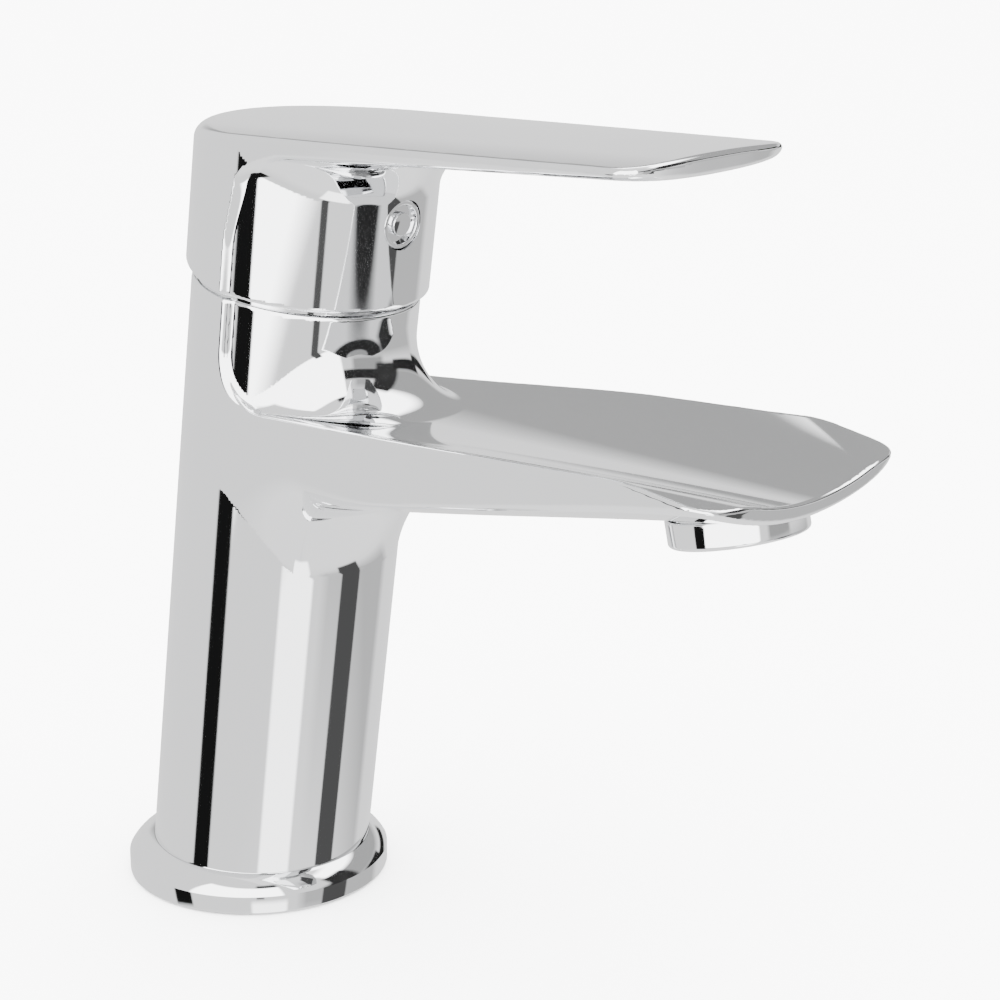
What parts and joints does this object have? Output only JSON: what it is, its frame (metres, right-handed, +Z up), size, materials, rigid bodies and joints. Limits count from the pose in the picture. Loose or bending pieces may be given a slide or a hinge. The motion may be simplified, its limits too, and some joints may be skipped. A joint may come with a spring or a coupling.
{
  "type": "single-lever basin mixer",
  "caption": "Leaning chrome bathroom mixer with a broad trough-shaped spout, an aerator, a flat lever on a cap, a ceramic cartridge and an under-deck clamp.",
  "frame": {"origin": "centre of the base's underside, on the top of the deck that the mixer stands on", "axes": "+Z up from the deck, -Y forward along the spout, +X to the right of someone who looks along +Y"},
  "size_m": [0.0566, 0.1677, 0.2088],
  "materials": {
    "chrome": "polished chrome plate",
    "steel": "zinc-plated or stainless steel",
    "brass": "turned brass",
    "rubber": "moulded rubber",
    "ceramic": "lapped alumina",
    "white_plastic": "moulded acetal",
    "grey_plastic": "moulded acetal"
  },
  "bodies": {
    "base": {"body_casting": "chrome", "base_ring": "chrome", "base_gasket": "rubber", "mounting_stud": "steel", "clamp_gasket": "rubber", "clamp_plate": "steel", "clamp_nut": "brass", "cover_dome": "chrome", "cartridge_nut": "brass", "cartridge_housing": "white_plastic", "cartridge_base": "grey_plastic", "port_seals": "rubber", "fixed_disc": "ceramic", "aerator_shell": "chrome", "aerator_insert": "white_plastic", "aerator_mesh": "steel", "aerator_gasket": "rubber"},
    "rotor": {"cartridge_rotor": "white_plastic", "rotor_o_ring": "rubber", "spindle_pin": "steel"},
    "handle": {"spindle": "brass", "lever": "chrome", "grub_screw": "steel", "index_plug": "chrome"},
    "disc": {"disc_carrier": "grey_plastic", "moving_disc": "ceramic"}
  },
  "joints": [
    {"name": "lever_swivel", "type": "hinge", "parent": "base", "child": "rotor", "pos_m": [0, -0.01848, 0.12363], "axis": [0, -0.1478, 0.989], "range_deg": [-50, 50]},
    {"name": "lever_tilt", "type": "hinge", "parent": "rotor", "child": "handle", "pos_m": [0, -0.01848, 0.12363], "axis": [-1, 0, 0], "range_deg": [0, 20]},
    {"name": "disc_slide", "type": "slide", "parent": "rotor", "child": "disc", "axis": [0, -0.989, -0.1478], "range_m": [0, 0.0026]}
  ],
  "couplings": [
    {"joint": "disc_slide", "follows": "lever_tilt", "m_per_rad": 0.00688}
  ]
}
